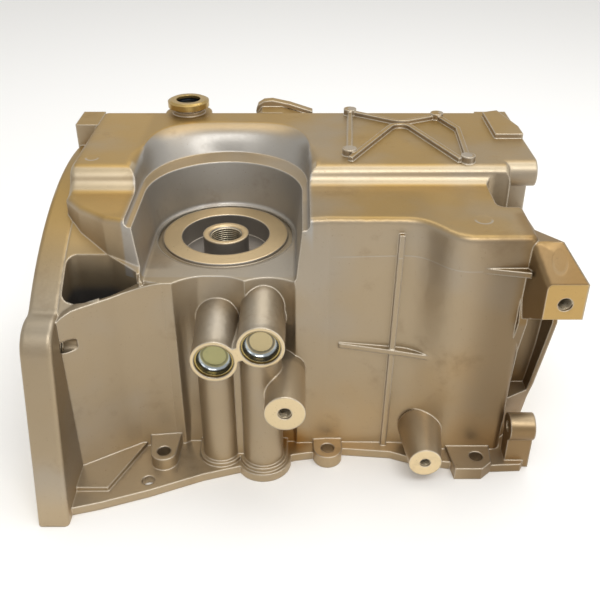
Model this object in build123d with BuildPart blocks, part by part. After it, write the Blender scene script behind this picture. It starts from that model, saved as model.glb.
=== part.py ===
from build123d import *
from math import asin, atan2, cos, degrees, radians, sin, sqrt, tan
import os

os.makedirs("parts", exist_ok=True)

# An aluminium engine oil pan, lying on its gasket face with the sump floor up.
# X runs from the bell-housing face to the front-cover end, Y from the oil-filter
# side to the drain side, Z up from the gasket face. The origin is the middle of
# the pan's length and width, on the gasket face. All sizes are millimetres.

# Overall size
pan_length = 321.0
pan_width = 262.0
deck_height = 180.0
left = -pan_length / 2
right = pan_length / 2
front = -pan_width / 2
back = pan_width / 2

# Walls
wall = 5.0
floor_thickness = 6.0
draft = 3.0
wall_lean = deck_height * tan(radians(draft))
past = 12.0  # how far a cutting body runs past the metal that it cuts

# Gasket flange round the foot
flange_thickness = 6.0
flange_bolt_radius = 4.5
flange_lug_radius = 9.5
flange_small_hole_radius = 4.0

# Front wall: straight on the filter side, bulging forward towards the far end
front_wall_y = front + 69.0
bulge_foot_y = front + 63.0
bulge_top_y = front + 53.5
bulge_start_x = right - 100.0
bulge_full_x = right - 61.0
sump_right_x = right - 27.0
sump_corner = 5.0
rim_radius = 4.0
back_wall_y = back - 25.0
back_wall_foot_y = back - 16.0

# Sump floor: a high deck at the back and lower shelves in front of it
deck_fold_y = front + 138.0
near_shelf_drop = 10.0
near_shelf_run = 15.0
far_shelf_drop = 13.0
far_shelf_run = 20.0

# Bell-housing plate at the left end, round the crankshaft axis
plate_thickness = 19.0
plate_recess_depth = 11.0
plate_rim_width = 20.0
crank_y = front + 183.0
crank_z = -47.0
housing_radius = 213.0
plate_boss_y = front + 46.5
plate_boss_z = 102.0
plate_boss_radius = 20.0
plate_back_y = back - 4.0
plate_bolt_radius = 4.25
plate_edge_radius = 3.0
plate_blend_radius = 8.0
plate_corner_front_y = front + 209.0
plate_corner_depth = 16.0

# Shoulder between the plate and the filter recess, with its deep pocket
shoulder_plan = (
    (left + 43.0, front + 85.6),
    (left + 25.0, front + 100.5),
    (left + 14.0, front + 115.0),
)
shoulder_back_x = left + 14.0
tip_x = left + 62.0
tip_y = front + 71.0
pocket_floor_z = 14.0
pocket_corner_radius = 6.0

# Oil-filter recess: a wide upper trough and a narrower lower one
filter_x = left + 111.0
filter_y = front + 131.5
recess_floor_z = deck_height - 48.0
recess_ledge_z = deck_height - 17.0
lower_trough_radius = 46.5
lower_trough_lean = 6.0
upper_trough_radius = 54.5
upper_trough_shift = 14.0
upper_trough_lean = 0.5
trough_flare_radius = 8.0
trough_foot_radius = 3.0

# Thicker wall under the recess lip, hollowed out above each plug boss
lip_block_y = front + 68.5
lip_block_left = left + 63.0
lip_block_right = left + 155.0
lip_blend_end = left + 177.0
lip_hollows = (
    (left + 106.5, front + 78.0, 33.8),
    (left + 140.5, front + 75.5, 25.4),
)

# Filter seat
seat_outer_radius = 41.0
seat_inner_radius = 28.8
seat_groove_radius = 45.0
seat_groove_depth = 1.4
seat_rise = 0.8
annulus_depth = 13.0
stub_radius = 15.0
stub_rise = 1.5
filter_thread_radius = 10.25
filter_thread_length = 18.0
filter_thread_chamfer = 1.4

# Oil galleries: two upright columns on the front wall, each with a cross bore
column_left_x = left + 108.0
column_left_y = front + 60.0
column_right_x = left + 136.0
column_right_y = front + 56.0
column_left_radius = 12.0
column_right_radius = 13.0
column_web_y = front + 55.0
column_web_width = 8.0
column_bore_radius = 5.5
column_foot_margin = 5.0
column_foot_rise = 3.0

# Core-plug bosses, at the mouths of the cross bores
plug_face_y = front + 40.0
plug_boss_radius = 14.3
plug_web_height = 9.5
plug_boss_climb = 13.0
plug_boss_root_radius = 13.5
plug_boss_root_y = front + 84.0
plug_left_x = left + 109.0
plug_left_z = recess_floor_z - 37.0
plug_right_x = left + 137.0
plug_right_z = recess_floor_z - 27.0
plug_radius = 11.9
plug_set_back = 1.4
plug_depth = 6.5
plug_sheet = 1.3
plug_inner_bend = 3.4
plug_side_gap = 0.03
cross_bore_radius = 7.0
gallery_radius = 11.5

# Tapped bosses on the front wall
round_boss_x = left + 151.0
round_boss_z = 68.0
round_boss_face_y = front + 25.0
round_boss_radius = 12.4
tapped_m10_radius = 4.25
tapped_m10_depth = 24.0
cone_boss_x = right - 81.5
cone_boss_z = 19.4
cone_boss_face_y = front + 35.0
cone_boss_radius = 10.3
cone_boss_foot_radius = 14.5
tapped_m8_radius = 3.4
tapped_m8_depth = 18.0

# Bracket arm at the far end of the front wall
arm_face_y = front + 40.0
arm_width = 23.0
arm_bottom_z = deck_height - 55.0
arm_top_z = deck_height - 32.0
arm_shoulder_y = front + 55.0
arm_shoulder_z = deck_height - 13.0
arm_root_z = deck_height - 20.0
arm_root_y = front + 90.0
arm_hole_inset = 11.5
arm_hole_z = deck_height - 45.0
arm_hole_depth = 12.0
arm_edge_radius = 4.0

# Front-cover flange at the right end
end_face_x = right - 9.0
end_flange_width = 14.0
end_recess_depth = 8.0
end_boss_radius = 9.0
end_top_boss_y = front + 145.0
end_low_boss_y = front + 57.0
end_low_boss_z = 31.0
end_bolt_radius = 3.4

# Notch in the far shelf, next to the front-cover flange
notch_x = right - 33.0
notch_y = front + 112.5
notch_length = 20.0
notch_width = 37.0
notch_floor_z = deck_height - 60.0
notch_corner_radius = 6.0

# Ribs
rib_width = 3.4
rib_height = 3.2
deck_rib_width = 3.2
deck_rib_height = 3.0
deck_pad_radius = 4.6
deck_pad_height = 4.4

# Drain boss and plug at the back edge of the deck
drain_x = left + 78.0
drain_y = back - 26.0
drain_boss_radius = 17.0
drain_boss_rise = 3.0
drain_thread_radius = 9.0
drain_thread_gap = 0.15
drain_shank_length = 20.0
drain_head_radius = 14.2
drain_head_height = 4.5
drain_hex_radius = 6.0
drain_hex_depth = 7.0
washer_radius = 11.4
washer_thickness = 2.5


def across(x):
    """The plane of constant X, seen from the right end."""
    return Plane.YZ.offset(x)


def facing(y):
    """The plane of constant Y that faces the filter side."""
    return Plane.XZ.offset(-y)


def level(z):
    """The plane of constant height."""
    return Plane.XY.offset(z)


def polygon(plane, points):
    """A flat face through the given points of a plane."""
    with BuildSketch(plane, mode=Mode.PRIVATE) as shape:
        with BuildLine():
            Polyline(*points, close=True)
        make_face()
    return shape.sketch


def disc(plane, x, y, radius):
    """A flat disc on a plane."""
    with BuildSketch(plane, mode=Mode.PRIVATE) as shape:
        with Locations((x, y)):
            Circle(radius)
    return shape.sketch


# ------------------------------------------------------------------ sump shell
def sump_outline(z, lean, bulge_y, rear_y, inset=0.0):
    """Plan outline of the sump at one height. The inset gives the wall's inner face."""
    with BuildSketch(level(z)) as outline:
        with BuildLine():
            run = Line(
                (tip_x + inset, tip_y + lean + inset),
                (bulge_start_x, front_wall_y + lean + inset),
            )
            swell = Spline(
                run @ 1,
                (bulge_full_x, bulge_y + inset),
                tangents=((1, 0), (1, 0)),
            )
            Polyline(
                swell @ 1,
                (sump_right_x - inset, bulge_y + inset),
                (sump_right_x - inset, rear_y - inset),
                (shoulder_back_x + inset, rear_y - inset),
                (shoulder_plan[2][0] + inset, shoulder_plan[2][1] + inset / 2),
                (shoulder_plan[1][0] + inset, shoulder_plan[1][1] + inset / 2),
                (shoulder_plan[0][0] + inset, shoulder_plan[0][1] + inset / 2),
                run @ 0,
            )
        make_face()
    return outline.sketch


def step_profile(x, drop, run, inset=0.0):
    """Side view of what lies above a shelf: a soft S from the shelf up to the deck."""
    shelf_z = deck_height - drop - inset
    deck_z = deck_height - inset
    foot_y = deck_fold_y - run + inset
    fold_y = deck_fold_y + inset
    middle = ((foot_y + fold_y) / 2, (shelf_z + deck_z) / 2)
    with BuildSketch(across(x)) as profile:
        with BuildLine():
            floor = Line((front - past, shelf_z), (foot_y, shelf_z))
            lower = TangentArc(floor @ 1, middle, tangent=(1, 0))
            upper = TangentArc(lower @ 1, (fold_y, deck_z), tangent=lower % 1)
            Polyline(
                upper @ 1,
                (back + past, deck_z),
                (back + past, deck_height + past),
                (front - past, deck_height + past),
                floor @ 0,
            )
        make_face()
    return profile.sketch


def trough(radius, axis_y, floor_z, lean, flare=0.0, foot_radius=0.0):
    """A U-shaped trough, open to the front, with a round back about an upright axis."""
    side = filter_x + radius
    top_z = deck_height + past
    flare_z = deck_height - flare
    with BuildSketch(facing(axis_y)) as half:
        with BuildLine():
            rise = Polyline(
                (filter_x, top_z),
                (filter_x, floor_z),
                (side, floor_z),
                (side + lean, flare_z),
            )
            if flare:
                bow = TangentArc(
                    rise @ 1,
                    (side + lean + flare, deck_height),
                    tangent=(0, 1),
                )
                Polyline(bow @ 1, (side + lean + flare, top_z), rise @ 0)
            else:
                Polyline(rise @ 1, (side + lean, top_z), rise @ 0)
        make_face()
        if foot_radius:
            fillet(half.vertices().group_by(Axis.Y)[0].sort_by(Axis.X)[-1], foot_radius)
    with BuildPart() as body:
        revolve(half.sketch, axis=Axis((filter_x, axis_y, 0), (0, 0, 1)))
        extrude(half.sketch, amount=axis_y - front + past)
        mirror(about=Plane.YZ.offset(filter_x))
    return body.part


upper_trough_y = filter_y + upper_trough_shift
recess = (
    trough(lower_trough_radius, filter_y, recess_floor_z, lower_trough_lean, 0, trough_foot_radius),
    trough(
        upper_trough_radius,
        upper_trough_y,
        recess_ledge_z,
        upper_trough_lean,
        trough_flare_radius,
        trough_foot_radius,
    ),
)
recess_housing = (
    trough(
        lower_trough_radius + wall, filter_y, recess_floor_z - floor_thickness, lower_trough_lean
    ),
    trough(
        upper_trough_radius + wall, upper_trough_y, recess_ledge_z - wall, upper_trough_lean
    ),
)

sump_foot = sump_outline(0, 0, bulge_foot_y, back_wall_foot_y)
sump_top = sump_outline(deck_height, wall_lean, bulge_top_y, back_wall_y)
near_step = step_profile(filter_x, near_shelf_drop, near_shelf_run)
far_step = step_profile(filter_x, far_shelf_drop, far_shelf_run)


def on_level(edges, z):
    """The edges that lie at one height."""
    return edges.filter_by_position(Axis.Z, z - 0.1, z + 0.1)


lip_wall_y = front_wall_y + wall_lean * recess_floor_z / deck_height


def lip_plan(z, face_y, wall_y):
    """Plan of the thicker wall under the recess lip at one height."""
    return polygon(
        level(z),
        (
            (lip_block_left, wall_y - 3.0),
            (lip_block_left + 14.0, face_y),
            (lip_block_right, face_y),
            (lip_block_right, wall_y + wall / 2),
            (lip_block_left, wall_y + wall / 2),
        ),
    )


def lip_blend_section(x, foot_y, lip_y):
    """Side view of the blend from the thicker wall into the plain one."""
    return polygon(
        across(x),
        (
            (foot_y, 0),
            (lip_y, recess_floor_z),
            (front_wall_y + wall_lean + 0.5, deck_height),
            (front_wall_y + wall_lean + wall / 2, deck_height),
            (front_wall_y + wall / 2, 0),
        ),
    )


with BuildPart() as lip_block:
    loft(
        [
            lip_plan(0, front_wall_y - 0.5, front_wall_y),
            lip_plan(recess_floor_z, lip_block_y, lip_wall_y),
        ],
        ruled=True,
    )
    loft(
        [
            lip_blend_section(lip_block_right, front_wall_y - 0.5, lip_block_y),
            lip_blend_section(lip_blend_end, front_wall_y + 0.5, lip_wall_y + 0.5),
        ],
        ruled=True,
    )
    for hollow_x, hollow_y, hollow_radius in lip_hollows:
        extrude(
            disc(level(flange_thickness), hollow_x, hollow_y - hollow_radius, hollow_radius),
            amount=recess_floor_z,
            mode=Mode.SUBTRACT,
        )

with BuildPart() as sump:
    loft([sump_foot, sump_top], ruled=True)
    add(lip_block.part)
    extrude(near_step, amount=right - filter_x + past, mode=Mode.SUBTRACT)
    extrude(far_step, amount=left - filter_x - past, mode=Mode.SUBTRACT)
    add(recess[0], mode=Mode.SUBTRACT)
    add(recess[1], mode=Mode.SUBTRACT)
    uprights = sump.edges().filter_by(lambda edge: edge.bounding_box().size.Z > recess_floor_z)
    fillet(
        uprights.filter_by_position(Axis.X, left, shoulder_plan[0][0] + 1.0)
        + uprights.filter_by_position(Axis.X, bulge_full_x + 1.0, right),
        sump_corner,
    )
    brow = on_level(sump.edges(), deck_height - near_shelf_drop)
    fillet(
        brow.filter_by_position(Axis.Y, front, front_wall_y + 2 * wall_lean),
        rim_radius,
    )

cavity_foot = sump_outline(0, 0, bulge_foot_y, back_wall_foot_y, wall)
cavity_top = sump_outline(deck_height, wall_lean, bulge_top_y, back_wall_y, wall)
near_roof = step_profile(filter_x, near_shelf_drop, near_shelf_run, floor_thickness)
far_roof = step_profile(filter_x, far_shelf_drop, far_shelf_run, floor_thickness)

with BuildPart() as cavity:
    loft([cavity_foot, cavity_top], ruled=True)
    extrude(near_roof, amount=right - filter_x + past, mode=Mode.SUBTRACT)
    extrude(far_roof, amount=left - filter_x - past, mode=Mode.SUBTRACT)
    add(recess_housing[0], mode=Mode.SUBTRACT)
    add(recess_housing[1], mode=Mode.SUBTRACT)
    with BuildSketch(level(notch_floor_z - floor_thickness)):
        with Locations((notch_x, notch_y)):
            Rectangle(notch_length + 2 * wall, notch_width + 2 * wall)
    extrude(amount=deck_height, mode=Mode.SUBTRACT)


# ------------------------------------------- bell-housing plate and shoulder
leg_length = sqrt((plate_boss_y - front) ** 2 + plate_boss_z**2)
leg_angle = atan2(plate_boss_z, plate_boss_y - front) + asin(plate_boss_radius / leg_length)
leg_run = sqrt(leg_length**2 - plate_boss_radius**2)
leg_top = (front + leg_run * cos(leg_angle), leg_run * sin(leg_angle))


def housing_arc(radius, from_y, to_y):
    """Arc of the bell housing's round rim between two places along Y."""
    return ThreePointArc(
        *[
            (y, crank_z + sqrt(radius**2 - (y - crank_y) ** 2))
            for y in (from_y, (from_y + to_y) / 2, to_y)
        ]
    )


with BuildSketch(across(left)) as plate_profile:
    with BuildLine():
        rim = housing_arc(housing_radius, plate_boss_y, plate_back_y)
        Polyline(rim @ 1, (plate_back_y, 0), (front, 0), leg_top, (plate_boss_y, plate_boss_z), rim @ 0)
    make_face()
    with Locations((plate_boss_y, plate_boss_z)):
        Circle(plate_boss_radius)

with BuildPart() as plate:
    extrude(plate_profile.sketch, amount=plate_thickness)
    fillet(
        plate.edges()
        .filter_by(Axis.X)
        .filter_by_position(Axis.Z, plate_boss_z + 0.9 * plate_boss_radius, deck_height)
        .sort_by(Axis.Y)[0],
        plate_blend_radius,
    )
    rim_edges = plate.edges().filter_by(
        lambda edge: edge.bounding_box().size.X < 0.1 and edge.center().Z > plate_edge_radius
    )
    fillet(
        rim_edges.filter_by(lambda edge: edge.center().Y < plate_back_y - 1.0),
        plate_edge_radius,
    )

recess_radius = housing_radius - plate_rim_width
plate_bolts = (
    (plate_boss_y, plate_boss_z),
    (crank_y - 62.0, crank_z + housing_radius - plate_rim_width / 2 - 10.0),
    (crank_y + 10.0, crank_z + housing_radius - plate_rim_width / 2),
    (plate_back_y - 14.0, 118.0),
)
with BuildSketch(across(left)) as plate_recess:
    with BuildLine():
        inner_rim = housing_arc(recess_radius, front + 78.0, plate_back_y - plate_rim_width)
        Polyline(
            inner_rim @ 1,
            (plate_back_y - plate_rim_width, plate_rim_width),
            (front + 42.0, plate_rim_width),
            (front + 62.0, 84.0),
            inner_rim @ 0,
        )
    make_face()
    fillet(plate_recess.vertices(), 6)
    with Locations(*plate_bolts):
        Circle(plate_boss_radius / 2 + 2, mode=Mode.SUBTRACT)
    with Locations((crank_y - 30.0, 60.0)):
        Rectangle(5, 240, rotation=14, mode=Mode.SUBTRACT)
    with Locations((crank_y + 32.0, 60.0)):
        Rectangle(5, 240, rotation=-12, mode=Mode.SUBTRACT)

shoulder_start_x = left + plate_thickness - 1.0
shoulder_plan_points = (
    (shoulder_start_x, front + 43.5),
    (left + 55.0, front + 66.5),
    (tip_x + 4.0, front_wall_y),
    (tip_x + 4.0, shoulder_plan[2][1] + past),
    (shoulder_start_x, shoulder_plan[2][1] + past),
)
with BuildSketch(across(left)) as under_rim:
    with BuildLine():
        roof = housing_arc(housing_radius, front + 32.0, shoulder_plan[2][1] + 2 * past)
        Polyline(roof @ 1, (shoulder_plan[2][1] + 2 * past, 0), (front + 32.0, 0), roof @ 0)
    make_face()

with BuildPart() as shoulder:
    extrude(polygon(level(0), shoulder_plan_points), amount=deck_height)
    extrude(under_rim.sketch, amount=pan_length / 2, mode=Mode.INTERSECT)

pocket_points = (
    (left + plate_thickness, front + 59.0),
    (left + 29.0, front + 56.5),
    (left + 41.0, front + 60.0),
    (tip_x + 0.5, tip_y - 2.0),
    (tip_x - 0.5, tip_y + 4.0),
    shoulder_plan[0],
    (left + plate_thickness, shoulder_plan[0][1]),
)
with BuildPart() as pocket:
    extrude(polygon(level(pocket_floor_z), pocket_points), amount=deck_height)
    fillet(
        pocket.edges().filter_by(Axis.Z).group_by(Axis.X)[0],
        pocket_corner_radius,
    )

# -------------------------------------------------------------- gasket flange
flange_points = (
    (shoulder_start_x, front + 9.0),
    (left + 36.0, front + 14.2),
    (left + 65.0, front + 24.8),
    (left + 81.0, front + 31.8),
    (left + 97.0, front + 38.8),
    (left + 157.0, front + 57.5),
    (left + 189.0, front + 63.0),
    (right - 101.0, front + 60.0),
    (right - 86.0, front + 54.0),
    (right - 63.0, front + 50.0),
    (right - 36.0, front + 47.0),
    (right - 16.0, front + 48.0),
    (end_face_x, front + 60.0),
    (end_face_x, back - flange_lug_radius),
    (shoulder_start_x, back - flange_lug_radius),
)
near_lug = (left + 71.0, front + 51.0)
middle_lug = (left + 178.3, front + 60.5)
far_lug = (right - 45.0, front + 52.4)
rear_lugs = [
    (x, back - flange_lug_radius)
    for x in (left + 44.0, left + 122.0, right - 121.0, right - 43.0)
]
near_lug_top = 15.0
lug_top = 9.0


def column_terrace(margin):
    """Plan of the terrace round the feet of both columns, run back into the wall."""
    with BuildSketch(level(0), mode=Mode.PRIVATE) as plan:
        for x, y, radius in (
            (column_left_x, column_left_y, column_left_radius),
            (column_right_x, column_right_y, column_right_radius),
        ):
            with Locations((x, y)):
                Circle(radius + margin)
                Rectangle(
                    2 * (radius + margin),
                    front_wall_y + wall / 2 - y,
                    align=(Align.CENTER, Align.MIN),
                )
    return plan.sketch


with BuildPart() as flange:
    with BuildSketch(level(0)):
        add(polygon(Plane.XY, flange_points))
        add(column_terrace(column_foot_margin))
    extrude(amount=flange_thickness)
    extrude(column_terrace(column_foot_margin / 2), amount=flange_thickness + column_foot_rise)
    with BuildSketch(level(0)):
        with Locations(middle_lug, *rear_lugs):
            Circle(flange_lug_radius)
        with Locations(*[(x, y - flange_lug_radius) for x, y in rear_lugs]):
            Rectangle(2 * flange_lug_radius, 2 * flange_lug_radius)
        with Locations((middle_lug[0], middle_lug[1] + flange_lug_radius)):
            Rectangle(2 * flange_lug_radius, 2 * flange_lug_radius)
        add(
            polygon(
                Plane.XY,
                (
                    (right - 64.0, front + 66.0),
                    (right - 60.5, front + 40.6),
                    (right - 43.0, front + 40.6),
                    (right - 36.0, front + 47.0),
                    (right - 34.5, front + 66.0),
                ),
            )
        )
    extrude(amount=lug_top)
    with BuildSketch(level(0)):
        with Locations(near_lug):
            Circle(flange_lug_radius - 1)
        add(
            polygon(
                Plane.XY,
                (
                    (near_lug[0] - 8.5, near_lug[1]),
                    (near_lug[0] + 8.5, near_lug[1]),
                    (near_lug[0] + 10.0, front_wall_y + wall),
                    (near_lug[0] - 12.0, front_wall_y + wall),
                ),
            )
        )
    extrude(amount=near_lug_top)
    with BuildSketch(level(0)):
        add(
            polygon(
                Plane.XY,
                (
                    (shoulder_start_x, front + 24.0),
                    (left + 39.0, front + 24.0),
                    (left + 58.0, front + 68.0),
                    (shoulder_start_x, front + 50.0),
                ),
            )
        )
    extrude(amount=flange_thickness + column_foot_rise)

# ------------------------------------------------------- front-cover flange
with BuildSketch(across(end_face_x)) as end_profile:
    with BuildLine():
        Polyline(
            (front + 92.0, 0),
            (front + 84.0, 28.0),
            (front + 73.0, 53.0),
            (front + 62.0, deck_height - 94.0),
            (front + 53.0, deck_height - 66.0),
            (front + 58.0, deck_height - 40.0),
            (front + 112.0, deck_height - 39.0),
            (front + 156.0, deck_height - 42.0),
            (front + 156.0, deck_height - 2 * end_boss_radius),
            (end_top_boss_y, deck_height - 2 * end_boss_radius),
            (end_top_boss_y, deck_height),
            (back_wall_y, deck_height),
            (back_wall_foot_y, 0),
            close=True,
        )
    make_face()
    with Locations((end_top_boss_y, deck_height - end_boss_radius)):
        Circle(end_boss_radius)

with BuildSketch(across(end_face_x)) as end_recess:
    with BuildLine():
        Polyline(
            (front + 110.0, end_flange_width),
            (front + 76.0, deck_height - 76.0),
            (front + 80.0, deck_height - 56.0),
            (front + 168.0, deck_height - 56.0),
            (front + 172.0, deck_height - end_flange_width),
            (back_wall_y - end_flange_width, deck_height - end_flange_width),
            (back_wall_foot_y - end_flange_width, end_flange_width),
            close=True,
        )
    make_face()
    fillet(end_recess.vertices(), 6)
    with Locations((front + 140.0, 90.0), (front + 190.0, 90.0)):
        Rectangle(5, 220, mode=Mode.SUBTRACT)

end_corner_z = arm_bottom_z - 5.0
corner_x = sump_right_x - 2 * sump_corner
with BuildPart() as end_flange:
    extrude(end_profile.sketch, amount=sump_right_x - end_face_x - wall)
    loft(
        [
            polygon(
                across(corner_x + 1.0),
                (
                    (bulge_foot_y, 0),
                    (bulge_foot_y - 4.0, end_corner_z),
                    (front + 105.0, end_corner_z),
                    (front + 105.0, 0),
                ),
            ),
            polygon(
                across(end_face_x),
                (
                    (front + 92.0, 0),
                    (front + 53.5, end_corner_z),
                    (front + 105.0, end_corner_z),
                    (front + 105.0, 0),
                ),
            ),
        ],
        ruled=True,
    )
    with BuildSketch(across(end_face_x - 1.0)):
        with Locations((end_low_boss_y, end_low_boss_z)):
            Circle(end_boss_radius)
        add(
            polygon(
                Plane.XY,
                (
                    (end_low_boss_y - 5.0, 0),
                    (end_low_boss_y + 5.0, 0),
                    (end_low_boss_y + 8.0, end_low_boss_z),
                    (end_low_boss_y - 5.0, end_low_boss_z),
                ),
            )
        )
    extrude(amount=-16.0)


# ---------------------------------------------------------------- bracket arm
def arm_section(y, left_x, right_x, top_right_x, bottom_z, top_z):
    """Cross-section of the arm at one Y."""
    return polygon(
        facing(y),
        ((left_x, bottom_z), (left_x, top_z), (top_right_x, top_z), (right_x, bottom_z)),
    )


arm_left_x = right - arm_width
with BuildPart() as arm:
    loft(
        [
            arm_section(arm_face_y, arm_left_x, right, right, arm_bottom_z, arm_top_z),
            arm_section(
                arm_shoulder_y,
                right - 31.0,
                right - 6.0,
                right - 13.5,
                arm_bottom_z - 9.0,
                arm_shoulder_z,
            ),
        ],
        ruled=True,
    )
    loft(
        [
            arm_section(
                arm_shoulder_y,
                right - 31.0,
                right - 6.0,
                right - 13.5,
                arm_bottom_z - 9.0,
                arm_shoulder_z,
            ),
            arm_section(
                arm_root_y,
                right - 33.0,
                end_face_x,
                sump_right_x,
                arm_bottom_z - 13.0,
                arm_root_z,
            ),
        ],
        ruled=True,
    )
    arm_tops = arm.edges().filter_by_position(Axis.Z, arm_top_z + 1.0, arm_shoulder_z - 1.0)
    fillet(arm_tops.filter_by_position(Axis.X, left, right - arm_width), arm_edge_radius)

# ------------------------------------------------------------ columns, bosses
with BuildPart() as columns:
    extrude(disc(level(0), column_left_x, column_left_y, column_left_radius), amount=plug_left_z)
    extrude(disc(level(0), column_right_x, column_right_y, column_right_radius), amount=plug_right_z)
    with BuildSketch(level(0)):
        with Locations(((column_left_x + column_right_x) / 2, column_web_y)):
            Rectangle(
                column_web_width,
                front_wall_y + wall / 2 - column_web_y,
                align=(Align.CENTER, Align.MIN),
            )
    extrude(amount=plug_left_z)

plug_web_slope = degrees(atan2(plug_right_z - plug_left_z, plug_right_x - plug_left_x))
with BuildPart() as plug_bosses:
    with BuildSketch(facing(plug_face_y)):
        with Locations((plug_left_x, plug_left_z), (plug_right_x, plug_right_z)):
            Circle(plug_boss_radius)
        with Locations(((plug_left_x + plug_right_x) / 2, (plug_left_z + plug_right_z) / 2)):
            Rectangle(plug_right_x - plug_left_x, plug_web_height, rotation=plug_web_slope)
    extrude(amount=plug_face_y - front_wall_y - wall)
    for boss_x, boss_z in ((plug_left_x, plug_left_z), (plug_right_x, plug_right_z)):
        root_z = boss_z + (plug_boss_root_y - plug_face_y) * tan(radians(plug_boss_climb))
        loft(
            [
                disc(facing(plug_face_y), boss_x, boss_z, plug_boss_root_radius),
                disc(facing(plug_boss_root_y), boss_x, root_z, plug_boss_root_radius),
            ],
            ruled=True,
        )

with BuildPart() as round_boss:
    extrude(
        disc(facing(round_boss_face_y), round_boss_x, round_boss_z, round_boss_radius),
        amount=round_boss_face_y - front_wall_y - wall,
    )

with BuildPart() as cone_boss:
    loft(
        [
            disc(facing(cone_boss_face_y), cone_boss_x, cone_boss_z, cone_boss_radius),
            disc(facing(bulge_foot_y + wall), cone_boss_x, cone_boss_z + 3.0, cone_boss_foot_radius),
        ],
        ruled=True,
    )

# Underside of the filter seat and the cross galleries that lead to it
gallery_floor_z = recess_floor_z - annulus_depth - wall
cross_bores = ((plug_left_x, plug_left_z), (plug_right_x, plug_right_z))
with BuildPart() as galleries:
    with BuildSketch(level(gallery_floor_z)):
        with Locations((filter_x, filter_y)):
            Circle(seat_inner_radius + wall)
    extrude(amount=recess_floor_z - gallery_floor_z - 1.0)
    for bore_x, bore_z in cross_bores:
        extrude(
            disc(facing(front_wall_y + 1.0), bore_x, bore_z, gallery_radius),
            amount=front_wall_y - filter_y - gallery_radius,
        )
        extrude(
            disc(level(bore_z - gallery_radius - 1.0), bore_x, filter_y, gallery_radius + 2.0),
            amount=gallery_floor_z - bore_z + gallery_radius + 3.0,
        )

# ----------------------------------------------------------------------- ribs
wall_face = Plane(
    origin=(0, front_wall_y, 0),
    x_dir=(1, 0, 0),
    z_dir=(0, -cos(radians(draft)), sin(radians(draft))),
)
lens_left = -42.0
lens_right = 47.0
lens_plane = Plane(origin=(right - 95.0, 0, 78.5), x_dir=(1, 0, -0.09), z_dir=(0.09, 0, 1))
ledge_z = deck_height - 30.0
with BuildPart() as wall_ribs:
    with BuildSketch(wall_face.offset(-1.0)):
        with BuildLine():
            Line((right - 105.0, flange_thickness / 2), (right - 101.0, deck_height - 19.0))
        trace(line_width=rib_width)
    extrude(amount=rib_height + 1.0)
    with BuildSketch(lens_plane):
        with BuildLine():
            bow = ThreePointArc(
                (lens_left, front_wall_y + 3.5),
                (0, front_wall_y - 1.0),
                (lens_right, bulge_foot_y - 2.0),
            )
            Polyline(bow @ 1, (lens_right, front_wall_y + wall), (lens_left, front_wall_y + wall), bow @ 0)
        make_face()
    extrude(amount=rib_width)
    with BuildSketch(level(ledge_z)):
        with BuildLine():
            Polyline(
                (right - 57.5, bulge_top_y + 2.0),
                (right - 30.0, bulge_top_y - 4.0),
                (right - 30.0, bulge_foot_y),
                (right - 51.0, bulge_foot_y),
                close=True,
            )
        make_face()
    extrude(amount=-rib_width)

rib_left_x = filter_x + upper_trough_radius + trough_flare_radius + 18.7
rib_right_x = sump_right_x - 26.7
rib_middle_x = (rib_left_x + rib_right_x) / 2 + 1.5
rib_a = (rib_left_x + 4.5, back - 31.0)
rib_b = (rib_right_x - 8.3, back - 40.0)
rib_c = (rib_left_x, deck_fold_y + 14.4)
rib_d = (rib_right_x, deck_fold_y + 2.5)
rib_valley = (rib_middle_x, back - 53.5)
rib_arch_start = (rib_left_x, deck_fold_y + 3.0)
rib_peak = (rib_middle_x, back - 48.0)
rib_arch_end = (rib_right_x - 4.8, deck_fold_y + 1.0)
rib_kink = (rib_right_x + 2.5, back - 67.0)
with BuildPart() as deck_ribs:
    with BuildSketch(level(deck_height - 1.0)):
        with BuildLine():
            Line(rib_a, rib_c)
            FilletPolyline(rib_a, rib_valley, rib_b, radius=12)
            FilletPolyline(rib_arch_start, rib_peak, rib_arch_end, radius=8)
            Polyline(rib_b, rib_kink, rib_d)
        trace(line_width=deck_rib_width)
    extrude(amount=deck_rib_height + 1.0)
    with BuildSketch(level(deck_height - 1.0)):
        with Locations(rib_a, rib_b, rib_c, rib_d):
            Circle(deck_pad_radius)
    extrude(amount=deck_pad_height + 1.0)

# ----------------------------------------------------------------- drain boss
drain_seat_z = deck_height + drain_boss_rise
with BuildPart() as drain_boss:
    extrude(disc(level(drain_seat_z), drain_x, drain_y, drain_boss_radius), amount=-36.0)
    loft(
        [
            disc(level(drain_seat_z - 36.0), drain_x, drain_y, drain_boss_radius),
            disc(level(drain_seat_z - 56.0), drain_x, drain_y - 8.0, drain_boss_radius - 8.0),
        ],
        ruled=True,
    )

corner_pad_rise = 3.5
corner_pad_points = (
    (right - 28.0, back - 81.0),
    (end_face_x, back - 81.0),
    (end_face_x, back - 66.0),
    (right - 17.0, back - 32.0),
    (right - 28.0, back - 36.0),
)
ear_points = (
    (left + 127.0, deck_height - 30.0),
    (left + 127.0, deck_height - 5.5),
    (left + 133.0, deck_height + 1.5),
    (left + 138.0, deck_height + 2.5),
    (left + 165.0, deck_height - 5.5),
    (left + 165.0, deck_height - 22.0),
)

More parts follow.
